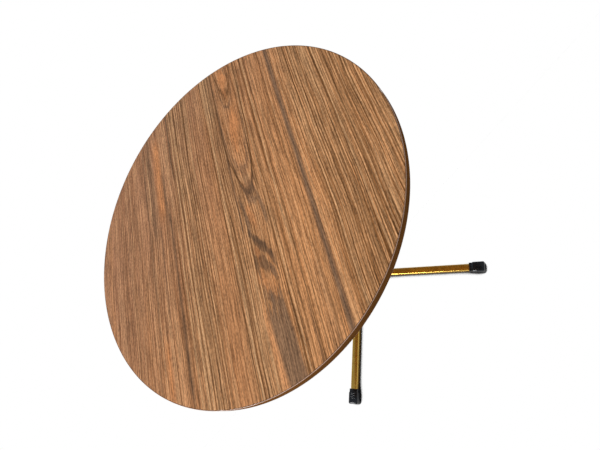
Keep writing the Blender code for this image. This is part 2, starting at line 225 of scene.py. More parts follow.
class Nodes:
    """A node tree, filled from left to right."""

    COLUMN_WIDTH = 180
    ROW_HEIGHT = 170
    ROWS = 9
    FIRST_COLUMN = -12

    def __init__(self, tree):
        self.tree = tree
        self.count = 0

    def add(self, kind, sockets=None, **options):
        """Adds a node, sets its options, and fills or links its sockets."""
        node = self.tree.nodes.new(kind)
        column, row = divmod(self.count, self.ROWS)
        node.location = ((column + self.FIRST_COLUMN) * self.COLUMN_WIDTH, -row * self.ROW_HEIGHT)
        self.count += 1
        for name, value in options.items():
            setattr(node, name, value)
        for name, value in (sockets or {}).items():
            self.fill(node.inputs[name], value)
        return node

    def fill(self, socket, value):
        """Links a socket to another one, or gives it a value."""
        if isinstance(value, bpy.types.NodeSocket):
            self.tree.links.new(value, socket)
        elif socket.type == "RGBA":
            socket.default_value = (*value, 1.0)
        else:
            socket.default_value = value

    def math(self, operation, first, second=0.0):
        """A function of one value or two."""
        return self.add("ShaderNodeMath", {0: first, 1: second}, operation=operation).outputs[0]

    def plus(self, first, second):
        """The sum of two values."""
        return self.math("ADD", first, second)

    def minus(self, first, second):
        """The first value less the second one."""
        return self.math("SUBTRACT", first, second)

    def times(self, first, second):
        """The product of two values."""
        return self.math("MULTIPLY", first, second)

    def scaled(self, value, factor, offset=0.0):
        """A value times a factor, plus an offset."""
        node = self.add("ShaderNodeMath", {0: value, 1: factor, 2: offset}, operation="MULTIPLY_ADD")
        return node.outputs[0]

    def vector(self, x, y, z=0.0):
        """Three values as one vector."""
        return self.add("ShaderNodeCombineXYZ", {0: x, 1: y, 2: z}).outputs[0]

    def noise(self, vector, scale=1.0, detail=2.0, roughness=0.5):
        """Soft random values round one half."""
        sockets = {"Vector": vector, "Scale": scale, "Detail": detail, "Roughness": roughness}
        return self.add("ShaderNodeTexNoise", sockets).outputs["Fac"]

    def streaks(self, across, fineness, along, coarseness, seed=0.0, detail=2.0, roughness=0.5):
        """Random values that change a given number of times to the metre in each direction."""
        place = self.vector(self.scaled(across, fineness), self.scaled(along, coarseness), seed)
        return self.noise(place, detail=detail, roughness=roughness)

    def step(self, value, low, high, start=0.0, end=1.0):
        """A smooth step from start, at the low value, to end, at the high one."""
        sockets = {"Value": value, "From Min": low, "From Max": high, "To Min": start, "To Max": end}
        return self.add("ShaderNodeMapRange", sockets, interpolation_type="SMOOTHSTEP").outputs[0]

    def ridge(self, value, centre, half_width):
        """One at the centre, falling smoothly to nought at the half width."""
        distance = self.math("ABSOLUTE", self.minus(value, centre))
        return self.step(distance, 0.0, half_width, 1.0, 0.0)

    def ramp(self, value, stops):
        """A colour ramp through the given stops."""
        node = self.add("ShaderNodeValToRGB", {0: value})
        elements = node.color_ramp.elements
        for index, (place, colour) in enumerate(stops):
            element = elements[index] if index < 2 else elements.new(place)
            element.position = place
            element.color = (*colour, 1.0)
        return node.outputs[0]

    def mix(self, share, first, second, blend="MIX"):
        """Two colours mixed by a share."""
        node = self.add("ShaderNodeMix", data_type="RGBA", blend_type=blend)
        self.fill(node.inputs[0], share)
        self.fill(node.inputs[6], first)
        self.fill(node.inputs[7], second)
        return node.outputs[2]


class Finish(Nodes):
    """One material and its nodes."""

    def __init__(self, name):
        self.material = bpy.data.materials.new(name)
        self.material.use_nodes = True
        super().__init__(self.material.node_tree)
        self.shader = self.tree.nodes["Principled BSDF"]

    def object_place(self, turn=0.0):
        """The three coordinates of a point, after a turn of the axes about Z."""
        coordinates = self.add("ShaderNodeTexCoord").outputs["Object"]
        sockets = {"Vector": coordinates, "Rotation": (0.0, 0.0, -turn)}
        turned_place = self.add("ShaderNodeMapping", sockets).outputs[0]
        return self.add("ShaderNodeSeparateXYZ", {0: turned_place}).outputs

    def bump(self, height, strength, distance):
        """Gives the shader a relief."""
        node = self.add("ShaderNodeBump", {"Height": height, "Strength": strength, "Distance": distance})
        self.fill(self.shader.inputs["Normal"], node.outputs[0])

    def surface(self, **values):
        """Fills the shader's own sockets, named with underscores for spaces, and gives the material."""
        for name, value in values.items():
            self.fill(self.shader.inputs[name.replace("_", " ").title().replace("Ior", "IOR")], value)
        return self.material


# Streaks of the figured sheet in millimetres: place across the grain, half width, start and end
# down the grain, tone, and share of that tone
STREAKS = (
    (144.5, 5.0, -320.0, 320.0, "grey", 0.88), (148.5, 1.4, -320.0, 320.0, "shade", 0.50),
    (153.5, 1.2, -320.0, 320.0, "pale", 0.40), (134.5, 1.2, -320.0, 320.0, "dark", 0.30),
    (-158.0, 8.0, -300.0, -20.0, "shade", 0.55), (-172.0, 3.2, -240.0, 160.0, "shade", 0.45),
    (-146.5, 1.8, -40.0, 130.0, "shade", 0.65), (-164.0, 1.6, -210.0, -60.0, "pale", 0.55),
    (-137.0, 9.0, -230.0, -60.0, "orange", 0.85), (-160.0, 4.6, 165.0, 255.0, "orange", 1.00),
    (-126.0, 4.0, -150.0, -40.0, "shade", 0.55), (-120.5, 3.4, -60.0, 270.0, "shade", 0.70),
    (-112.0, 1.6, -60.0, 320.0, "dark", 0.60), (-102.0, 2.4, -310.0, -130.0, "shade", 0.70),
    (-106.0, 1.6, -20.0, 320.0, "pale", 0.55), (-99.5, 1.1, -160.0, 320.0, "dark", 0.65),
    (-94.0, 1.4, -320.0, 320.0, "pale", 0.70), (-90.0, 1.1, -320.0, 320.0, "dark", 0.75),
    (-86.5, 1.4, -320.0, 320.0, "pale", 0.70), (-81.5, 1.0, -320.0, 320.0, "dark", 0.40),
    (-68.0, 1.0, -320.0, 320.0, "dark", 0.25), (-40.0, 1.4, -230.0, 240.0, "dark", 0.40),
    (-16.0, 1.0, -320.0, 320.0, "dark", 0.40), (-8.0, 1.4, -320.0, 320.0, "dark", 0.85),
    (-3.2, 1.4, -320.0, 320.0, "pale", 0.70), (0.5, 1.0, -320.0, 320.0, "dark", 0.60),
    (6.0, 1.3, -320.0, 320.0, "dark", 0.70), (12.0, 1.1, -320.0, 320.0, "dark", 0.45),
    (20.5, 2.0, -320.0, 60.0, "shade", 0.75), (27.0, 1.2, -320.0, 40.0, "dark", 0.50),
    (65.5, 1.5, -320.0, 0.0, "dark", 0.75), (72.0, 1.8, 0.0, 320.0, "dark", 0.80),
    (22.0, 1.6, 120.0, 320.0, "pale", 0.60), (79.0, 1.3, -60.0, 320.0, "dark", 0.65),
    (75.0, 1.2, -260.0, 320.0, "pale", 0.55), (90.5, 1.6, -320.0, -20.0, "dark", 0.85),
    (86.5, 1.6, -20.0, 320.0, "dark", 0.60), (94.5, 1.4, -320.0, 120.0, "pale", 0.75),
    (99.0, 1.5, -320.0, 320.0, "dark", 0.75), (107.0, 1.0, -320.0, 320.0, "pale", 0.45),
    (112.0, 0.9, -320.0, 320.0, "dark", 0.45), (127.5, 1.4, -320.0, 320.0, "dark", 0.50),
    (198.0, 1.1, -320.0, 320.0, "dark", 0.50), (221.0, 1.3, -320.0, 320.0, "dark", 0.60),
    (225.5, 1.2, -320.0, 320.0, "pale", 0.55), (240.0, 1.2, -320.0, 320.0, "dark", 0.55),
    (-218.0, 1.4, -320.0, 320.0, "dark", 0.35), (-240.0, 1.6, -320.0, 320.0, "dark", 0.35),
    (95.5, 2.6, 200.0, 320.0, "shade", 0.50), (107.8, 1.1, 120.0, 320.0, "dark", 0.55),
    (122.0, 9.0, 150.0, 320.0, "grey", 0.22), (118.0, 0.9, 150.0, 320.0, "dark", 0.35),
    (-20.0, 40.0, 110.0, 320.0, "shade", 0.15), (-35.0, 22.0, 100.0, 320.0, "orange", 0.25),
    # The two wide pale and grey washes at the head of the sheet are a painted sheen
    (20.0, 45.0, -320.0, -190.0, "pale", 0.12), (20.0, 45.0, -320.0, -190.0, "grey", 0.08),
)

# How full of fine lines the sheet is, from its left rim to its right one
BUSY_ZONES = (
    (0.00, 0.40), (0.20, 0.55), (0.31, 0.90), (0.37, 0.85), (0.41, 0.40), (0.46, 0.40), (0.49, 0.90),
    (0.60, 0.80), (0.69, 0.72), (0.75, 0.40), (0.84, 0.50), (0.89, 0.92), (1.00, 0.95),
)

# Patches of the figure down the middle, in millimetres: place across and down, half width and half
# length, lean across for each millimetre down, tone, and share of that tone
PATCHES = (
    (46.0, -262.0, 9.0, 44.0, 0.05, "orange", 0.75), (51.0, -148.0, 9.5, 62.0, -0.10, "orange", 1.00),
    (47.0, -35.0, 7.0, 22.0, 0.00, "grey", 0.35), (48.0, 12.0, 9.0, 10.0, 0.10, "grey", 0.50),
    (38.0, 40.0, 7.0, 34.0, 0.18, "orange", 0.60), (61.0, 30.0, 4.0, 50.0, 0.10, "grey", 0.55),
    (30.0, 40.0, 4.0, 52.0, 0.08, "grey", 0.65), (37.0, 76.0, 6.5, 20.0, 0.55, "shade", 0.72),
    (45.0, 92.0, 8.0, 26.0, 0.60, "shade", 0.68), (57.0, 112.0, 4.5, 26.0, 0.25, "shade", 0.68),
    (35.0, 100.0, 4.0, 16.0, 0.20, "orange", 0.70), (30.0, 118.0, 4.0, 24.0, 0.15, "shade", 0.60),
    (45.0, 124.0, 9.0, 18.0, 0.30, "shade", 0.68), (57.0, 140.0, 4.5, 20.0, 0.20, "grey", 0.60),
    (37.0, 146.0, 9.0, 20.0, 0.20, "orange", 0.60), (50.0, 160.0, 9.0, 22.0, 0.10, "orange", 0.45),
    (45.0, 176.0, 6.0, 14.0, 0.20, "grey", 0.60),
)
# Contours of the tongues: place and half width along the contours in metres, tone, and share
CONTOURS = (
    (-0.224, 0.016, "dark", 0.75), (-0.196, 0.012, "grey", 0.45), (-0.050, 0.016, "grey", 0.50),
    (-0.026, 0.012, "pale", 0.35), (-0.004, 0.020, "shade", 0.85),
)

# Sets of random lines along the grain: how many to the metre, how many times longer than wide they
# are, and their seed, detail and roughness
LINE_SETS = {
    "bands": (26.0, 14.0, 1.7, 2.0, 0.55),
    "warmth": (42.0, 22.0, 15.6, 2.0, 0.55),
    "sway": (34.0, 22.0, 37.4, 1.0, 0.55),
    "streaks": (110.0, 60.0, 4.3, 2.0, 0.55),
    "pins": (190.0, 170.0, 31.8, 1.0, 0.55),
    "fine": (450.0, 230.0, 7.9, 2.0, 0.6),
    "hair": (880.0, 130.0, 11.2, 2.0, 0.6),
    "dashes": (620.0, 22.0, 27.3, 1.0, 0.55),
    "grit": (560.0, 3.0, 19.1, 1.0, 0.55),
    "pores": (2600.0, 30.0, 23.4, 1.0, 0.55),
}

# Shares of the red, green and blue parts that make one tone of the sheet from another
PINK_AND_SHEEN_SHARES = (0.84, 0.82, 1.08)
YELLOW_SHARES = (1.32, 1.23, 1.22)
BROWN_SHARES = (0.42, 0.38, 0.32)
SHADE_SHARES = (0.62, 0.58, 0.54)

# Places on the sheet: across it from the middle, and down it, in metres
SHEET_HALF = 0.30
AXIS_PLACE = 0.048
WALL_PLACE = 0.0265
WALL_REACH = 0.29
STRIP_START = 0.186
STRIP_PLACE = 0.0455
STRIP_HALF_WIDTH = 0.0155
FLAME_PLACE = 0.0268

# The soft sides of a streak reach this many times its half width. A streak that ends on the sheet
# fades from this far before its end to this far past it, in metres
STREAK_SPREAD = 1.5
STREAK_FADE = 0.02


def spindle(finish, across, down, patch, fray):
    """One at the middle of a leaning patch with pointed, frayed ends, and nought outside it."""
    place, centre, half_width, half_length, lean = patch
    along = finish.scaled(down, 1.0, -centre / MILLIMETRES)
    side = finish.minus(finish.scaled(across, 1.0, -place / MILLIMETRES), finish.scaled(along, lean))
    side = finish.scaled(side, MILLIMETRES / half_width)
    end = finish.scaled(along, MILLIMETRES / half_length)
    reach = finish.plus(finish.times(side, side), finish.math("ABSOLUTE", end))
    return finish.step(finish.plus(reach, finish.scaled(fray, 2.4, -1.2)), 0.40, 1.20, 1.0, 0.0)


def grain_figure(finish, across, down, tones, colour):
    """The nested tongues, knots and dark strip down the middle of the sheet."""
    side = finish.math("ABSOLUTE", finish.scaled(across, 1.0, -AXIS_PLACE))
    fray = finish.streaks(across, 260.0, down, 24.0)
    wander = finish.streaks(across, 60.0, down, 16.0)
    # Contours that open fast above their tips and then run nearly parallel
    square = finish.times(side, side)
    ring = finish.plus(finish.scaled(square, 130.0), down)
    ring = finish.plus(ring, finish.scaled(finish.times(square, square), 330000.0))
    ring = finish.plus(ring, finish.scaled(wander, 0.030, -0.015))
    ring = finish.plus(ring, finish.scaled(fray, 0.036, -0.018))
    inside = finish.times(finish.step(side, 0.030, 0.026), finish.step(ring, 0.02, -0.02))
    rows = finish.noise(finish.vector(finish.scaled(ring, 42.0), 3.0, 5.0), roughness=0.6)
    colour = finish.mix(finish.times(inside, 0.30), colour, tones["orange"])
    rows_share = finish.times(finish.step(rows, 0.52, 0.62, 0.0, 0.60), inside)
    colour = finish.mix(rows_share, colour, tones["dark"])
    for place, half_width, tone, strength in CONTOURS:
        share = finish.times(finish.ridge(ring, place, half_width), strength)
        near = finish.step(side, 0.033, 0.027)
        colour = finish.mix(finish.times(share, near), colour, tones[tone])
    # The dark walls on both sides of the tongue
    run = finish.scaled(down, 1.0 / WALL_REACH, 1.0)
    wall_place = finish.scaled(finish.math("POWER", run, 5.0), -WALL_PLACE, WALL_PLACE)
    wall = finish.ridge(finish.minus(side, wall_place), 0.0, 0.0022)
    wall = finish.times(wall, finish.step(down, -0.012, -0.030, 0.0, 0.80))
    colour = finish.mix(wall, colour, tones["dark"])
    for *patch, tone, strength in PATCHES:
        share = finish.times(spindle(finish, across, down, patch, fray), strength)
        colour = finish.mix(share, colour, tones[tone])
    # The dark strip at the foot, which starts with frayed tips and widens to its end
    below = finish.scaled(down, 1.0, -STRIP_START)
    off_strip = finish.minus(finish.scaled(across, 1.0, -STRIP_PLACE), finish.scaled(below, 0.055))
    off_strip = finish.math("ABSOLUTE", off_strip)
    past_side = finish.minus(off_strip, finish.scaled(below, 0.025, STRIP_HALF_WIDTH))
    past_tips = finish.plus(below, finish.scaled(fray, 0.200, -0.095))
    strip = finish.times(
        finish.step(past_side, 0.002, -0.002), finish.step(past_tips, -0.016, 0.016, 0.0, 0.74),
    )
    colour = finish.mix(strip, colour, tinted(tones["grey"], 1.08))
    # The flame beside the strip
    off_flame = finish.minus(finish.scaled(across, 1.0, -FLAME_PLACE), finish.scaled(below, 0.075))
    flame = finish.times(
        finish.ridge(off_flame, 0.0, 0.0090), finish.step(down, 0.150, 0.215, 0.0, 0.95),
    )
    parts = zip(tones["orange"], tones["pale"])
    return finish.mix(flame, colour, tuple(first * 0.88 + second * 0.22 for first, second in parts))


def wood_grain(name, looks, figured):
    """Straight brown grain with fine lines, long streaks and pores, in metres across and down."""
    finish = Finish(name)
    across, along = finish.object_place(looks.grain_turn)[:2]
    down = finish.scaled(along, -1.0)
    drift = finish.streaks(across, 5.0, down, 3.4, detail=1.0)
    waver = finish.streaks(across, 34.0, down, 15.0, detail=1.0)
    straight = finish.plus(across, finish.scaled(waver, 0.0020, -0.0010))
    across = finish.plus(straight, finish.scaled(drift, 0.018, -0.009))
    lines = {
        kind: finish.streaks(across, fineness, down, fineness / stretch, *others)
        for kind, (fineness, stretch, *others) in LINE_SETS.items()
    }
    # The sheet is a little pinker to the left, partly as a painted sheen, and yellower to the right
    warm_side = finish.step(finish.plus(across, finish.scaled(down, 0.5)), -0.28, 0.25)
    ground = looks.tan if figured else looks.backing
    colour = finish.mix(warm_side, tinted(ground, *PINK_AND_SHEEN_SHARES), tinted(ground, *YELLOW_SHARES))
    colour = finish.mix(finish.step(lines["warmth"], 0.54, 0.78, 0.0, 0.40), colour, looks.orange)
    brown = tinted(ground, *BROWN_SHARES)
    colour = finish.mix(finish.step(lines["bands"], 0.50, 0.75, 0.0, 0.14), colour, brown)
    # Some strips of the sheet are nearly plain, and others are full of fine lines. Where it is
    # busiest, there are also nearly even lines a little under 5 mm apart
    zones = [(place, (level,) * 3) for place, level in BUSY_ZONES]
    busy = finish.ramp(finish.step(across, -SHEET_HALF, SHEET_HALF), zones)
    crowded = finish.step(busy, 0.60, 0.95)
    comb = finish.plus(finish.scaled(across, 1320.0), finish.scaled(lines["sway"], 16.0))
    comb = finish.math("SINE", comb)
    for value, low, high, most, tone, where in (
        (lines["streaks"], 0.55, 0.64, 0.12, brown, busy),
        (lines["fine"], 0.50, 0.42, 0.68, looks.pale, busy),
        (lines["fine"], 0.51, 0.59, 0.78, looks.dark, busy),
        (comb, -0.30, -0.90, 0.45, looks.pale, crowded),
        (comb, 0.20, 0.90, 0.58, looks.dark, crowded),
    ):
        share = finish.times(finish.step(value, low, high, 0.0, most), where)
        colour = finish.mix(share, colour, tone)
    pin_lines = finish.times(finish.ridge(lines["pins"], 0.50, 0.036), finish.scaled(busy, 0.34, 0.08))
    colour = finish.mix(pin_lines, colour, looks.dark)
    colour = finish.mix(finish.step(lines["hair"], 0.51, 0.61, 0.0, 0.42), colour, looks.dark)
    colour = finish.mix(finish.step(lines["hair"], 0.50, 0.39, 0.0, 0.22), colour, looks.pale)
    if figured:
        tones = {
            "grey": looks.grey, "dark": looks.dark, "pale": looks.pale, "orange": looks.orange,
            "shade": tinted(looks.grey, *SHADE_SHARES),
        }
        for place, half_width, start, end, tone, strength in STREAKS:
            width = half_width * STREAK_SPREAD / MILLIMETRES
            share = finish.times(finish.ridge(straight, place / MILLIMETRES, width), strength)
            for limit, before, after in ((start, 0.0, 1.0), (end, 1.0, 0.0)):
                if abs(limit) < SHEET_HALF * MILLIMETRES:
                    middle = limit / MILLIMETRES
                    fade = finish.step(down, middle - STREAK_FADE, middle + STREAK_FADE, before, after)
                    share = finish.times(share, fade)
            colour = finish.mix(share, colour, tones[tone])
        colour = grain_figure(finish, across, down, tones, colour)
    # Short printed dashes and a fine grit darken and lighten everything alike
    printed = finish.plus(
        finish.step(lines["dashes"], 0.34, 0.66, 0.26, -0.26),
        finish.step(lines["grit"], 0.30, 0.70, 1.21, 0.79),
    )
    colour = finish.mix(1.0, colour, printed, "MULTIPLY")
    colour = finish.mix(finish.step(lines["pores"], 0.60, 0.72, 0.0, 0.22), colour, looks.dark)
    roughness = finish.step(lines["hair"], 0.3, 0.7, looks.roughness - 0.06, looks.roughness + 0.08)
    relief = finish.plus(finish.step(lines["pores"], 0.72, 0.60), finish.scaled(lines["hair"], 0.5))
    finish.bump(relief, strength=0.35, distance=0.00006)
    return finish.surface(base_color=colour, roughness=roughness, specular_ior_level=0.13)


def brass_finish(looks):
    """Satin brass plating, brushed across the arms and round the column."""
    finish = Finish("satin_brass_plating")
    x, y, z = finish.object_place()
    reach = finish.math("SQRT", finish.plus(finish.times(x, x), finish.times(y, y)))
    strokes = finish.streaks(reach, 900.0, z, 700.0)
    bands = finish.streaks(reach, 130.0, z, 90.0, seed=3.1)
    clouds = finish.noise(finish.vector(x, y, z), scale=28.0, detail=3.0)
    worn = tinted(looks.brass, 0.72, 0.62, 0.50)
    colour = finish.mix(finish.step(clouds, 0.40, 0.75, 0.0, 0.5), looks.brass, worn)
    colour = finish.mix(finish.step(bands, 0.55, 0.75, 0.0, 0.6), colour, worn)
    roughness = finish.plus(
        finish.step(strokes, 0.3, 0.7, 0.14, 0.24), finish.step(clouds, 0.5, 0.8, 0.0, 0.08),
    )
    finish.bump(strokes, strength=0.10, distance=0.00004)
    return finish.surface(base_color=colour, roughness=roughness, metallic=1.0)


def weld_finish(looks):
    """Brass plating over a rippled weld bead."""
    finish = Finish("plated_weld_bead")
    place = finish.vector(*finish.object_place())
    grain = finish.noise(place, scale=900.0, detail=3.0)
    soot = finish.noise(place, scale=160.0)
    colour = finish.mix(finish.step(soot, 0.4, 0.7), looks.brass, tinted(looks.brass, 0.45))
    finish.bump(grain, strength=0.4, distance=0.0001)
    roughness = finish.step(grain, 0.3, 0.7, 0.28, 0.45)
    return finish.surface(base_color=colour, roughness=roughness, metallic=1.0)


def zinc_finish(looks):
    """Zinc plating with a faint yellow and blue bloom."""
    finish = Finish("zinc_plated_steel")
    place = finish.vector(*finish.object_place())
    bloom = finish.noise(place, scale=220.0, detail=3.0)
    grain = finish.noise(place, scale=2200.0)
    yellow = tinted(looks.zinc, 1.12, 1.02, 0.74)
    colour = finish.mix(finish.step(bloom, 0.35, 0.7), looks.zinc, yellow)
    finish.bump(grain, strength=0.15, distance=0.00003)
    roughness = finish.step(grain, 0.3, 0.7, 0.26, 0.40)
    return finish.surface(base_color=colour, roughness=roughness, metallic=1.0)


def edge_band_finish(looks):
    """Dark brown plastic edging with a printed grain round the rim and faint trimming marks."""
    finish = Finish("dark_edge_band")
    x, y, z = finish.object_place()
    angle = finish.math("ARCTAN2", y, x)
    print_lines = finish.streaks(angle, 6.0, z, 1500.0, detail=3.0)
    chatter = finish.streaks(angle, 260.0, z, 60.0, detail=1.0)
    clouds = finish.noise(finish.vector(x, y, z), scale=14.0)
    light, deep = tinted(looks.edging, 1.40), tinted(looks.edging, 0.60)
    colour = finish.mix(finish.step(print_lines, 0.35, 0.65), light, deep)
    colour = finish.mix(finish.step(clouds, 0.4, 0.7, 0.0, 0.45), colour, looks.edging)
    relief = finish.plus(chatter, finish.scaled(print_lines, 0.4))
    finish.bump(relief, strength=0.12, distance=0.00008)
    roughness = finish.step(chatter, 0.3, 0.7, 0.40, 0.52)
    return finish.surface(base_color=colour, roughness=roughness, specular_ior_level=0.0)


def scraped_and_highlight_corner_finish(looks):
    """The edge band's rounded corners, worn through the print to the paler plastic by scraping and
    buffed; their pale colour is also a painted highlight.
    """
    finish = Finish("scraped_band_corner")
    x, y, z = finish.object_place()
    angle = finish.math("ARCTAN2", y, x)
    scrapes = finish.streaks(angle, 90.0, z, 900.0)
    clouds = finish.noise(finish.vector(x, y, z), scale=30.0)
    # The pale corner colour is partly a painted highlight along the rim
    colour = finish.mix(finish.step(clouds, 0.35, 0.7), looks.scraped, tinted(looks.scraped, 0.78))
    finish.bump(scrapes, strength=0.08, distance=0.00005)
    roughness = finish.step(scrapes, 0.3, 0.7, 0.22, 0.34)
    return finish.surface(base_color=colour, roughness=roughness, specular_ior_level=0.50)


def chipboard_finish():
    """Pressed wood chips of mixed browns."""
    finish = Finish("pressed_chips")
    x, y, z = finish.object_place()
    place = finish.vector(x, y, finish.scaled(z, 2.5))
    chips = finish.add("ShaderNodeTexVoronoi", {"Vector": place, "Scale": 320.0}, feature="F1")
    tone = finish.add("ShaderNodeSeparateColor", {0: chips.outputs["Color"]}).outputs[0]
    fibres = finish.noise(place, scale=1400.0, detail=3.0)
    colour = finish.ramp(
        tone, ((0.0, (0.30, 0.19, 0.09)), (0.5, (0.52, 0.37, 0.21)), (1.0, (0.66, 0.50, 0.31))),
    )
    colour = finish.mix(finish.step(fibres, 0.5, 0.8, 0.0, 0.5), colour, (0.20, 0.12, 0.06))
    relief = finish.plus(chips.outputs["Distance"], finish.scaled(fibres, 0.4))
    finish.bump(relief, strength=0.5, distance=0.0002)
    return finish.surface(base_color=colour, roughness=finish.step(fibres, 0.2, 0.8, 0.75, 0.92))


def moulded_finish(name, colour, roughness, grain_scale, relief, specular):
    """Moulded black plastic or rubber, slightly greyer where it is rubbed."""
    finish = Finish(name)
    place = finish.vector(*finish.object_place())
    grain = finish.noise(place, scale=grain_scale)
    rubbed = finish.noise(place, scale=130.0, detail=4.0, roughness=0.6)
    grey = tuple(part * 2.4 + 0.004 for part in colour)
    tone = finish.mix(finish.step(rubbed, 0.5, 0.8, 0.0, 0.6), colour, grey)
    rough = finish.plus(
        finish.step(grain, 0.3, 0.7, roughness, roughness + 0.07),
        finish.step(rubbed, 0.5, 0.8, 0.0, 0.1),
    )
    finish.bump(grain, strength=relief, distance=0.00004)
    return finish.surface(base_color=tone, roughness=rough, specular_ior_level=specular)


def floor_finish(white_share):
    """A pale floor that the camera sees as white, with a narrow painted shadow where the table meets it.
    """
    finish = Finish("pale_floor")
    x, y, z = finish.object_place()
    mottle = finish.noise(finish.vector(x, y, z), scale=3.0, detail=3.0)
    openness = finish.add("ShaderNodeAmbientOcclusion", {"Distance": 0.08}, samples=24).outputs["AO"]
    pale = finish.mix(finish.step(mottle, 0.3, 0.7), (0.58, 0.58, 0.58), (0.61, 0.61, 0.61))
    # Painted shadow: near the table the floor's own colour turns nearly black
    colour = finish.mix(finish.step(openness, 0.40, 0.90), (0.05, 0.05, 0.05), pale)
    finish.surface(base_color=colour, roughness=0.9, specular_ior_level=0.0)
    white = finish.add("ShaderNodeEmission", {"Color": (1.0, 1.0, 1.0), "Strength": 1.0})
    path = finish.add("ShaderNodeLightPath").outputs
    # The camera sees the floor's own shading, with its painted shadow, only in the narrow gaps under the
    # arms and round the caps
    direct = finish.times(path["Is Camera Ray"], finish.step(openness, 0.50, 0.61))
    # Metal and gloss mirror the white floor too, but near the table they mirror its shading with the
    # painted shadow, and on the side away from the light a painted shade leaves less white of it
    mirrored = finish.plus(path["Is Glossy Ray"], path["Is Transmission Ray"])
    mirrored = finish.times(mirrored, finish.step(openness, 0.70, 1.0))
    toward = finish.plus(
        finish.scaled(x, math.cos(LIT_SIDE)), finish.scaled(y, math.sin(LIT_SIDE)),
    )
    mirrored = finish.times(mirrored, finish.step(toward, -0.90, -0.15, 0.25, 1.0))
    seen = finish.math("MINIMUM", finish.plus(direct, mirrored), 1.0)
    blend = finish.add("ShaderNodeMixShader", {0: finish.times(seen, white_share)})
    finish.fill(blend.inputs[1], finish.shader.outputs[0])
    finish.fill(blend.inputs[2], white.outputs[0])
    finish.fill(finish.tree.nodes["Material Output"].inputs[0], blend.outputs[0])
    return finish.material


def deselect_all():
    """Leaves nothing selected, in object mode."""
    if bpy.context.object and bpy.context.object.mode != "OBJECT":
        bpy.ops.object.mode_set(mode="OBJECT")
    bpy.ops.object.select_all(action="DESELECT")


def select_only(*pieces):
    """Selects the pieces, with the first one active."""
    deselect_all()
    for piece in pieces:
        piece.select_set(True)
    bpy.context.view_layer.objects.active = pieces[0]


@contextmanager
def editing(piece):
    """Edit mode on one piece, with all of its mesh selected."""
    select_only(piece)
    bpy.ops.object.mode_set(mode="EDIT")
    bpy.ops.mesh.select_mode(type="VERT")
    bpy.ops.mesh.select_all(action="SELECT")
    yield
    bpy.ops.object.mode_set(mode="OBJECT")


def select_parts(piece, kind, test):
    """In edit mode, selects the faces or edges whose centre and normal or direction pass the test."""
    bpy.ops.mesh.select_all(action="DESELECT")
    bpy.ops.mesh.select_mode(type="FACE" if kind == "faces" else "EDGE")
    shape = bmesh.from_edit_mesh(piece.data)
    for part in getattr(shape, kind):
        if kind == "faces":
            part.select_set(test(part.calc_center_median(), part.normal))
        else:
            first, second = part.verts
            part.select_set(test((first.co + second.co) / 2, (second.co - first.co).normalized()))
    bmesh.update_edit_mesh(piece.data)


def apply_place(piece):
    """Puts the piece's place, turn and size in its mesh."""
    select_only(piece)
    bpy.ops.object.transform_apply(location=True, rotation=True, scale=True)


def apply_modifier(piece, kind, **options):
    """Adds a modifier, sets it and applies it."""
    select_only(piece)
    modifier = piece.modifiers.new(kind.lower(), kind)
    for name, value in options.items():
        setattr(modifier, name, value)
    bpy.ops.object.modifier_apply(modifier=modifier.name)


def smooth(piece, angle=SMOOTH_ANGLE):
    """Smooth shading that keeps the edges sharper than the angle."""
    select_only(piece)
    bpy.ops.object.shade_smooth_by_angle(angle=angle)


def dress(piece, name, material, replaced=()):
    """Names a finished piece, gives it its material, and ties it to the frame."""
    piece.name = name
    piece.data.name = name
    piece.data.materials.clear()
    piece.data.materials.append(material)
    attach(piece, BODY)
    if replaced:
        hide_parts(*replaced)


def dress_nodes(material, *nodes):
    """Gives CAD nodes a better material in their own slots."""
    for node in nodes:
        for slot in frame["nodes"][node].material_slots:
            slot.material = material


def copy_of(source):
    """A copy with its own mesh, alone and selected."""
    select_only(source)
    bpy.ops.object.duplicate(linked=False)
    return bpy.context.object


def smooth_copy(node):
    """A merged and smoothed copy of a CAD node."""
    piece = copy_of(frame["nodes"][node])
    bpy.ops.object.parent_clear(type="CLEAR_KEEP_TRANSFORM")
    with editing(piece):
        bpy.ops.mesh.remove_doubles(threshold=MERGE_DISTANCE)
        bpy.ops.mesh.tris_convert_to_quads()
    smooth(piece)
    return piece


def turned(outline, steps):
    """A closed shape turned about the column's axis, from an outline of radius and height points."""
    deselect_all()
    bpy.ops.mesh.primitive_plane_add(size=0.001)
    piece = bpy.context.object
    (first_radius, first_height), *others = outline
    with editing(piece):
        bpy.ops.mesh.merge(type="CENTER")
        bpy.ops.transform.translate(value=(first_radius, 0.0, first_height))
        radius, height = first_radius, first_height
        for next_radius, next_height in others:
            move = (next_radius - radius, 0.0, next_height - height)
            bpy.ops.mesh.extrude_region_move(TRANSFORM_OT_translate={"value": move})
            radius, height = next_radius, next_height
        bpy.ops.mesh.select_all(action="SELECT")
        bpy.ops.mesh.spin(steps=steps, angle=2 * math.pi, center=(0.0, 0.0, 0.0), axis=(0.0, 0.0, 1.0))
        bpy.ops.mesh.select_all(action="SELECT")
        bpy.ops.mesh.remove_doubles(threshold=MERGE_DISTANCE)
        bpy.ops.mesh.normals_make_consistent(inside=False)
    return piece


def ring_outline(inner, outer, low, high, edge=0.0):
    """The outline of a ring, with its outer corners cut where an edge is given."""
    corners = ((outer, low), (outer, high))
    if edge:
        corners = ((outer - edge, low), (outer, low + edge), (outer, high - edge), (outer - edge, high))
    return ((inner, low), *corners, (inner, high), (inner, low))


def runs_round(centre, way):
    """Whether an edge lies flat and runs round the table's axis."""
    return abs(way.z) < 0.1 and abs(centre.xy.normalized().dot(way.xy)) < 0.5


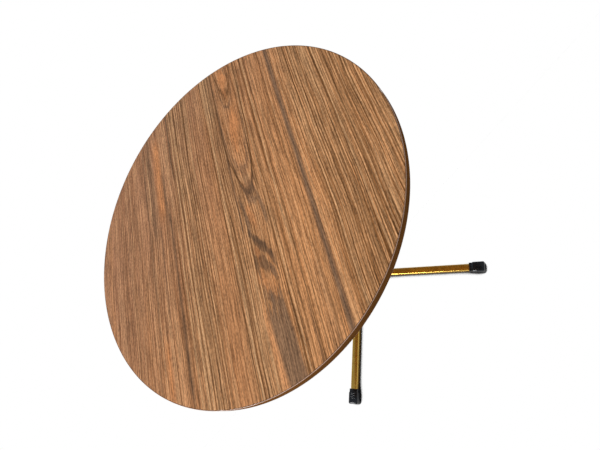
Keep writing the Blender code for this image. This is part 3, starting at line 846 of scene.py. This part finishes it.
def block(size, centre, rounding, segments=3):
    """A box with rounded edges."""
    deselect_all()
    bpy.ops.mesh.primitive_cube_add(size=1.0, location=centre, scale=size)
    piece = bpy.context.object
    apply_place(piece)
    with editing(piece):
        bpy.ops.mesh.bevel(offset=rounding, segments=segments, affect="EDGES")
    return piece


def join(*pieces):
    """Joins pieces into the first one."""
    select_only(*pieces)
    bpy.ops.object.join()
    return bpy.context.object


def turned_copy(piece, quarter):
    """A copy turned by quarter turns about the column's axis."""
    other = copy_of(piece)
    other.matrix_world = Matrix.Rotation(quarter * QUARTER_TURN, 4, "Z")
    apply_place(other)
    return other


def on_each_arm(piece, stem, material, replaced=True):
    """Dresses a piece made on the right arm, and its copies on the other three."""
    copies = [piece] + [turned_copy(piece, quarter) for quarter in range(1, len(SIDES))]
    for side, copy in zip(SIDES, copies):
        smooth(copy)
        dress(copy, f"{stem}_{side}_look", material, (f"{stem}_{side}",) if replaced else ())


class SIDETABLE_OT_laminate(bpy.types.Operator):
    """Finish the top laminate, its core and its backing"""

    bl_idname = "side_table.laminate"
    bl_label = "Laminated board"

    def execute(self, context):
        looks = context.scene.table_laminate
        dress_nodes(wood_grain("figured_laminate", looks, True), "top_laminate")
        dress_nodes(wood_grain("backing_laminate", looks, False), "bottom_backing")
        dress_nodes(chipboard_finish(), "core_board")
        return {"FINISHED"}


class SIDETABLE_OT_edge_band(bpy.types.Operator):
    """Turn the edge band round the board"""

    bl_idname = "side_table.edge_band"
    bl_label = "Edge band"

    steps = 240
    rounding = 0.0009
    rounding_steps = 5

    def execute(self, context):
        low, high = TOP_LOW.z, TOP_HIGH.z
        middle = (low + high) / 2
        outline = ring_outline(TABLE_RADIUS - BAND_THICKNESS, TABLE_RADIUS, low, high)
        band = turned(outline, self.steps)
        with editing(band):
            select_parts(band, "edges", lambda centre, way: (
                runs_round(centre, way)
                and centre.xy.length > TABLE_RADIUS - BAND_THICKNESS / 2
                and abs(centre.z - middle) > (high - low) / 4
            ))
            bpy.ops.mesh.bevel(offset=self.rounding, segments=self.rounding_steps, affect="EDGES")
        smooth(band)
        looks = context.scene.table_plastic
        dress(band, "edge_band_look", edge_band_finish(looks), ("edge_band",))
        band.data.materials.append(scraped_and_highlight_corner_finish(looks))
        # The faces that neither stand upright nor lie flat are the rounded corners, which take the pale
        # corner colour with its painted highlight
        with editing(band):
            select_parts(band, "faces", lambda centre, normal: 0.05 < abs(normal.z) < 0.95)
            band.active_material_index = 1
            bpy.ops.object.material_slot_assign()
        return {"FINISHED"}


class SIDETABLE_OT_tubes(bpy.types.Operator):
    """Smooth and plate the square tubes, the column and the hubs"""

    bl_idname = "side_table.tubes"
    bl_label = "Tubes and hubs"

    steps = 128
    column_wall = 0.0015
    column_rounding = 0.0004
    plate_rounding = 0.001
    plate_rounding_steps = 4
    rim_share = 0.9
    rod_gap = 0.0005

    def execute(self, context):
        brass = brass_finish(context.scene.table_metal)
        copied = [f"{level}_arm_{side}" for level in ("base", "top") for side in SIDES]
        for node in copied + ["base_hub_sleeve", "top_hub_sleeve"]:
            dress(smooth_copy(node), f"{node}_look", brass, (node,))
        radius = COLUMN_HIGH.x
        column = turned(ring_outline(
            radius - self.column_wall, radius, COLUMN_LOW.z, COLUMN_HIGH.z, self.column_rounding,
        ), self.steps)
        smooth(column)
        dress(column, "column_tube_look", brass, ("column_tube",))
        for node in ("base_hub_plate", "top_hub_plate"):
            self.plate(node, brass)
        return {"FINISHED"}

    def plate(self, node, brass):
        """One round hub plate with rounded rims and the tie rod's hole."""
        low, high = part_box(node)
        plate = turned(ring_outline(ROD_RADIUS + self.rod_gap, high.x, low.z, high.z), self.steps)
        with editing(plate):
            select_parts(plate, "edges", lambda centre, way: (
                runs_round(centre, way) and centre.xy.length > high.x * self.rim_share
            ))
            bpy.ops.mesh.bevel(
                offset=self.plate_rounding, segments=self.plate_rounding_steps, affect="EDGES",
            )
        smooth(plate)
        dress(plate, f"{node}_look", brass, (node,))


class SIDETABLE_OT_welds(bpy.types.Operator):
    """Lay rippled weld beads where the arms meet the hubs"""

    bl_idname = "side_table.welds"
    bl_label = "Weld beads"

    steps = 10
    ripple_length = 0.0012
    # Shares of a bead's radius in a ripple's trough and at its first ripple
    trough_share = 0.84
    end_share = 0.45
    # How fast the bead thickens from its ends, and the share of its length before its first ripple
    end_slope = 4.0
    end_gap = 0.02
    corner_gap = 0.0002
    # The bead along the hub plate: its gaps at both ends, and its size and place in shares of the radius
    plate_start = 0.003
    plate_end = 0.002
    plate_share = 0.8
    sink_share = 0.9
    offset_share = 0.25

    def bead(self, start, end, radius):
        """One bead between two points, as a row of shallow ripples that is thinner at its ends."""
        start, end = Vector(start), Vector(end)
        length = (end - start).length
        ripples = max(3, round(length / self.ripple_length))
        outline = [(0.0, 0.0)]
        for index in range(ripples * 2 + 1):
            share = index / (ripples * 2)
            swell = 1.0 if index % 2 else self.trough_share
            taper = min(1.0, self.end_slope * min(share, 1.0 - share) + self.end_share)
            place = self.end_gap + (1.0 - 2.0 * self.end_gap) * share
            outline.append((radius * swell * taper, length * place))
        outline.append((0.0, length))
        piece = turned(outline, self.steps)
        turn = (end - start).to_track_quat("Z", "Y").to_matrix().to_4x4()
        piece.matrix_world = Matrix.Translation(start) @ turn
        apply_place(piece)
        return piece

    def execute(self, context):
        looks = context.scene.table_metal
        radius = looks.bead_radius
        material = weld_finish(looks)
        for level, arm_low, arm_high in (
            ("base", BASE_ARM_LOW, BASE_ARM_HIGH), ("top", TOP_ARM_LOW, TOP_ARM_HIGH),
        ):
            root = arm_low.x
            side = arm_high.y
            clear = radius + self.corner_gap
            low, high = arm_low.z + clear, arm_high.z - clear
            plate_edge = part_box(f"{level}_hub_plate")[1].x
            sink = radius * self.sink_share
            lap = arm_high.z - sink if level == "base" else arm_low.z + sink
            beads = []
            for sign in (-1, 1):
                beads.append(self.bead((root, sign * side, low), (root, sign * side, high), radius))
                outside = sign * (side + radius * self.offset_share)
                start = (root + self.plate_start, outside, lap)
                end = (plate_edge - self.plate_end, outside, lap)
                beads.append(self.bead(start, end, radius * self.plate_share))
            stem = f"{level}_weld_beads"
            on_each_arm(join(*beads), stem, material, replaced=False)
        return {"FINISHED"}


class SIDETABLE_OT_caps(bpy.types.Operator):
    """Model the ribbed foot caps"""

    bl_idname = "side_table.caps"
    bl_label = "Foot caps"

    rib_width = 0.0013
    rib_height = 0.0010
    rib_rounding = 0.0004
    rib_start = 0.0095
    rib_pitch = 0.0034
    # Lengths of the ribs on the cap's top and sides, in shares of its width
    top_share = 0.62
    side_share = 0.56
    side_lift = 0.0008

    def execute(self, context):
        looks = context.scene.table_plastic
        cap = smooth_copy("foot_cap_right")
        width = CAP_HIGH.y - CAP_LOW.y
        top = CAP_HIGH.z
        top_size = (self.rib_width, width * self.top_share, self.rib_height)
        side_size = (self.rib_width, self.rib_height, width * self.side_share)
        ribs = []
        for index in range(looks.rib_count):
            x = CAP_LOW.x + self.rib_start + index * self.rib_pitch
            ribs.append(block(top_size, (x, 0.0, top), self.rib_rounding))
            for sign in (-1, 1):
                place = (x, sign * CAP_HIGH.y, top / 2 + self.side_lift)
                ribs.append(block(side_size, place, self.rib_rounding))
        cap = join(cap, *ribs)
        material = moulded_finish(
            "glossy_black_cap", looks.cap, roughness=0.12, grain_scale=1500.0, relief=0.02, specular=0.50,
        )
        on_each_arm(cap, "foot_cap", material)
        return {"FINISHED"}


class SIDETABLE_OT_plugs(bpy.types.Operator):
    """Model the domed plugs in the top arms' ends"""

    bl_idname = "side_table.plugs"
    bl_label = "Arm plugs"

    dome_depth = 0.0012
    dome_share = 0.86
    dome_sink = 0.0002
    dome_rounding = 0.00055

    def execute(self, context):
        looks = context.scene.table_plastic
        low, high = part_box("arm_plug_right")
        plug = smooth_copy("arm_plug_right")
        side = (high.y - low.y) * self.dome_share
        place = (high.x - self.dome_sink, 0.0, (low.z + high.z) / 2)
        dome = block((self.dome_depth, side, side), place, self.dome_rounding)
        plug = join(plug, dome)
        material = moulded_finish(
            "matt_black_plug", looks.plug, roughness=0.42, grain_scale=2400.0, relief=0.25, specular=0.40,
        )
        on_each_arm(plug, "arm_plug", material)
        return {"FINISHED"}


def thread(core, crest, pitch, low, high):
    """A helical thread between two heights, with its root sunk a little in the core.

    Its section is a triangle with its base on the core and its tip at the crest.
    """
    core -= THREAD_SINK
    depth = crest - core
    middle = (core + depth / 3, 0.0, low + pitch / 2)
    deselect_all()
    bpy.ops.mesh.primitive_circle_add(vertices=3, radius=1.0, fill_type="NOTHING")
    piece = bpy.context.object
    # The triangle's first corner points along Y, and becomes the crest along X
    piece.matrix_world = Matrix.Translation(middle) @ Matrix.Rotation(-math.pi / 2, 4, "Z")
    piece.scale = (pitch * 0.5, depth * 0.66, 1.0)
    apply_place(piece)
    with editing(piece):
        bpy.ops.transform.rotate(value=math.pi / 2, orient_axis="X", center_override=middle)
    turns = max(1, int((high - low - pitch) / pitch))
    apply_modifier(
        piece, "SCREW", axis="Z", angle=2 * math.pi, screw_offset=pitch, iterations=turns,
        steps=THREAD_STEPS, render_steps=THREAD_STEPS, use_merge_vertices=False,
    )
    with editing(piece):
        bpy.ops.mesh.remove_doubles(threshold=MERGE_DISTANCE)
        bpy.ops.mesh.select_all(action="DESELECT")
        bpy.ops.mesh.select_mode(type="EDGE")
        bpy.ops.mesh.select_non_manifold()
        bpy.ops.mesh.fill_holes(sides=4)
        bpy.ops.mesh.select_all(action="SELECT")
        bpy.ops.mesh.normals_make_consistent(inside=False)
    return piece


class SIDETABLE_OT_rod(bpy.types.Operator):
    """Turn the threaded tie rod, its washers and its nuts"""

    bl_idname = "side_table.rod"
    bl_label = "Tie rod and nuts"

    rod_steps = 32
    threaded_length = 0.030
    thread_depth_share = 0.61
    chamfer = 0.0008
    nut_steps = 96
    nut_face_share = 0.97
    nut_corner_gap = 0.001
    nut_chamfer_angle = math.radians(30.0)
    nut_smooth_angle = math.radians(25.0)
    washer_steps = 64
    washer_gap = 0.0004
    washer_edge = 0.0003

    def execute(self, context):
        looks = context.scene.table_metal
        zinc = zinc_finish(looks)
        pitch = looks.thread_pitch
        core = ROD_RADIUS - self.thread_depth_share * pitch
        tip = core - self.chamfer
        low, high = ROD_LOW.z, ROD_HIGH.z
        neck_low, neck_high = low + self.threaded_length, high - self.threaded_length
        outline = (
            (0.0, low), (tip, low), (core, low + self.chamfer), (core, neck_low),
            (ROD_RADIUS, neck_low + self.chamfer), (ROD_RADIUS, neck_high - self.chamfer),
            (core, neck_high), (core, high - self.chamfer), (tip, high), (0.0, high),
        )
        rod = join(
            turned(outline, self.rod_steps),
            thread(core, ROD_RADIUS, pitch, low + self.chamfer / 2, neck_low),
            thread(core, ROD_RADIUS, pitch, neck_high, high - self.chamfer / 2),
        )
        smooth(rod)
        dress(rod, "tie_rod_look", zinc, ("tie_rod",))
        for level in ("lower", "upper"):
            self.nut(f"{level}_nut", zinc)
            self.washer(f"{level}_washer", zinc)
        dress_nodes(zinc, "lower_column_locator", "upper_column_locator")
        return {"FINISHED"}

    def nut(self, node, zinc):
        """A hexagon nut whose corners are chamfered at both faces."""
        low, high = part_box(node)
        nut = smooth_copy(node)
        face = min(high.x, high.y) * self.nut_face_share
        corner = max(high.x, high.y) + self.nut_corner_gap
        drop = (corner - face) * math.tan(self.nut_chamfer_angle)
        outline = (
            (0.0, low.z), (face, low.z), (corner, low.z + drop),
            (corner, high.z - drop), (face, high.z), (0.0, high.z),
        )
        blank = turned(outline, self.nut_steps)
        apply_modifier(nut, "BOOLEAN", operation="INTERSECT", object=blank, solver="EXACT")
        bpy.data.objects.remove(blank)
        smooth(nut, self.nut_smooth_angle)
        dress(nut, f"{node}_look", zinc, (node,))

    def washer(self, node, zinc):
        """A punched washer with softened rims."""
        low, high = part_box(node)
        hole = ROD_RADIUS + self.washer_gap
        washer = turned(ring_outline(hole, high.x, low.z, high.z, self.washer_edge), self.washer_steps)
        smooth(washer)
        dress(washer, f"{node}_look", zinc, (node,))


class SIDETABLE_OT_screws(bpy.types.Operator):
    """Model the cross-recessed wood screws under the top arms"""

    bl_idname = "side_table.screws"
    bl_label = "Wood screws"

    steps = 48
    shank_radius = 0.0020
    core_radius = 0.0014
    pitch = 0.0018
    tip_length = 0.004
    thread_start = 0.002
    head_gap = 0.0002
    # The head's curve, in shares of its radius and its height
    head_curve = ((0.45, 0.0), (0.78, 0.22), (0.96, 0.55))
    recess_width = 0.0011
    recess_reach = 0.0048
    recess_depth = 0.0014
    recess_rounding = 0.0002

    def execute(self, context):
        zinc = bpy.data.materials["zinc_plated_steel"]
        recess_height = self.recess_depth * 2
        for node in ("wood_screw_inner", "wood_screw_outer"):
            low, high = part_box(f"{node}_right")
            radius = (high.x - low.x) / 2
            head = TOP_ARM_LOW.z - low.z
            neck = low.z + head - self.head_gap
            tip = high.z - self.tip_length
            outline = [(0.0, low.z)]
            outline += [(radius * out, low.z + head * up) for out, up in self.head_curve]
            outline += [(radius, neck), (self.core_radius, neck), (self.core_radius, tip), (0.0, high.z)]
            screw = turned(outline, self.steps)
            for size in (
                (self.recess_width, self.recess_reach, recess_height),
                (self.recess_reach, self.recess_width, recess_height),
            ):
                cutter = block(size, (0.0, 0.0, low.z), self.recess_rounding, 1)
                apply_modifier(screw, "BOOLEAN", operation="DIFFERENCE", object=cutter, solver="EXACT")
                bpy.data.objects.remove(cutter)
            start = low.z + head + self.thread_start
            helix = thread(self.core_radius, self.shank_radius, self.pitch, start, tip)
            screw = join(screw, helix)
            screw.location.x = (low.x + high.x) / 2
            apply_place(screw)
            on_each_arm(screw, node, zinc)
        return {"FINISHED"}


class SIDETABLE_OT_studio(bpy.types.Operator):
    """Lay the floor, hang the lamp and set the photograph's camera"""

    bl_idname = "side_table.studio"
    bl_label = "Studio and camera"

    lamp_place = (-2.9, -4.1, 4.6)
    lamp_aim = (0.0, 0.0, 0.4)
    lamp_size = 2.2
    # The surroundings go from shade to light between minus and plus this cosine to the lit side, and
    # from horizon to dome between these two sines of the angle of height
    turn_half_width = 0.75
    dome_start, dome_end = 0.05, 0.62
    dome_tint = (0.96, 1.0, 1.06)

    def execute(self, context):
        looks = context.scene.table_studio
        deselect_all()
        bpy.ops.mesh.primitive_plane_add(size=looks.floor_size)
        floor = context.object
        floor.name = "floor"
        floor.data.materials.append(floor_finish(looks.floor_white))
        self.lamp(looks.key_power)
        self.surroundings(context.scene, looks)
        self.camera(context.scene)
        context.scene.view_settings.view_transform = "Standard"
        return {"FINISHED"}

    def lamp(self, power):
        """The key lamp, a square soft one that faces the table."""
        bpy.ops.object.light_add(type="AREA", location=self.lamp_place)
        lamp = bpy.context.object
        lamp.name = "key_lamp"
        lamp.data.energy = power
        lamp.data.size = self.lamp_size
        aim = Vector(self.lamp_aim) - Vector(self.lamp_place)
        lamp.rotation_euler = aim.to_track_quat("-Z", "Y").to_euler()

    def surroundings(self, scene, looks):
        """A dim, slightly cool dome over a horizon that is brightest on the lit side of the table."""
        world = bpy.data.worlds.new("studio")
        world.use_nodes = True
        nodes = Nodes(world.node_tree)
        direction = nodes.add("ShaderNodeTexCoord").outputs["Generated"]
        height = nodes.add("ShaderNodeSeparateXYZ", {0: direction}).outputs["Z"]
        lit_side = (math.cos(LIT_SIDE), math.sin(LIT_SIDE), 0.0)
        facing = nodes.add("ShaderNodeVectorMath", {0: direction, 1: lit_side}, operation="DOT_PRODUCT")
        horizon = nodes.step(
            facing.outputs["Value"], -self.turn_half_width, self.turn_half_width,
            looks.shade_level, looks.horizon_level,
        )
        overhead = nodes.step(height, self.dome_start, self.dome_end)
        light = nodes.mix(overhead, horizon, tinted(self.dome_tint, looks.dome_level))
        # The camera sees a white backdrop, straight or through glass, and it lights nothing
        path = nodes.add("ShaderNodeLightPath").outputs
        seen = nodes.math("MAXIMUM", path["Is Camera Ray"], path["Is Transmission Ray"])
        backdrop = nodes.mix(seen, light, (1.0, 1.0, 1.0))
        nodes.fill(nodes.tree.nodes["Background"].inputs["Color"], backdrop)
        scene.world = world

    def camera(self, scene):
        """A camera at the photograph's place and angle."""
        turn = [math.radians(degrees) for degrees in CAMERA_TURN_DEGREES]
        bpy.ops.object.camera_add(location=CAMERA_PLACE, rotation=turn)
        camera = bpy.context.object
        camera.name = "photograph_camera"
        camera.data.sensor_width = CAMERA_SENSOR_MM
        camera.data.lens = CAMERA_LENS_MM
        camera.data.shift_x, camera.data.shift_y = CAMERA_SHIFT
        camera.data.clip_end = CAMERA_REACH
        scene.camera = camera


class SIDETABLE_PT_panel(bpy.types.Panel):
    """Settings and operators of the side table's looks"""

    bl_idname = "SIDETABLE_PT_panel"
    bl_label = "Side Table"
    bl_space_type = "VIEW_3D"
    bl_region_type = "UI"
    bl_category = "Side Table"

    def draw(self, context):
        layout = self.layout
        for group_name in SETTINGS:
            box = layout.box()
            group = getattr(context.scene, group_name)
            for property_name in group.__annotations__:
                box.prop(group, property_name)
        for operator in OPERATORS:
            layout.operator(operator.bl_idname)


SETTINGS = {
    "table_laminate": TableLaminateSettings,
    "table_metal": TableMetalSettings,
    "table_plastic": TablePlasticSettings,
    "table_studio": TableStudioSettings,
}
OPERATORS = (
    SIDETABLE_OT_studio,
    SIDETABLE_OT_laminate,
    SIDETABLE_OT_edge_band,
    SIDETABLE_OT_tubes,
    SIDETABLE_OT_welds,
    SIDETABLE_OT_caps,
    SIDETABLE_OT_plugs,
    SIDETABLE_OT_rod,
    SIDETABLE_OT_screws,
)


def register():
    """Registers the settings, the operators and the panel."""
    for name, group in SETTINGS.items():
        bpy.utils.register_class(group)
        setattr(bpy.types.Scene, name, PointerProperty(type=group))
    for operator in OPERATORS:
        bpy.utils.register_class(operator)
    bpy.utils.register_class(SIDETABLE_PT_panel)


def unregister():
    """Takes everything that register added away again."""
    bpy.utils.unregister_class(SIDETABLE_PT_panel)
    for operator in reversed(OPERATORS):
        bpy.utils.unregister_class(operator)
    for name, group in SETTINGS.items():
        delattr(bpy.types.Scene, name)
        bpy.utils.unregister_class(group)


def main():
    """Dresses the whole table."""
    register()
    bpy.ops.side_table.studio()
    bpy.ops.side_table.laminate()
    bpy.ops.side_table.edge_band()
    bpy.ops.side_table.tubes()
    bpy.ops.side_table.welds()
    bpy.ops.side_table.caps()
    bpy.ops.side_table.plugs()
    bpy.ops.side_table.rod()
    bpy.ops.side_table.screws()


if __name__ == "__main__":
    main()
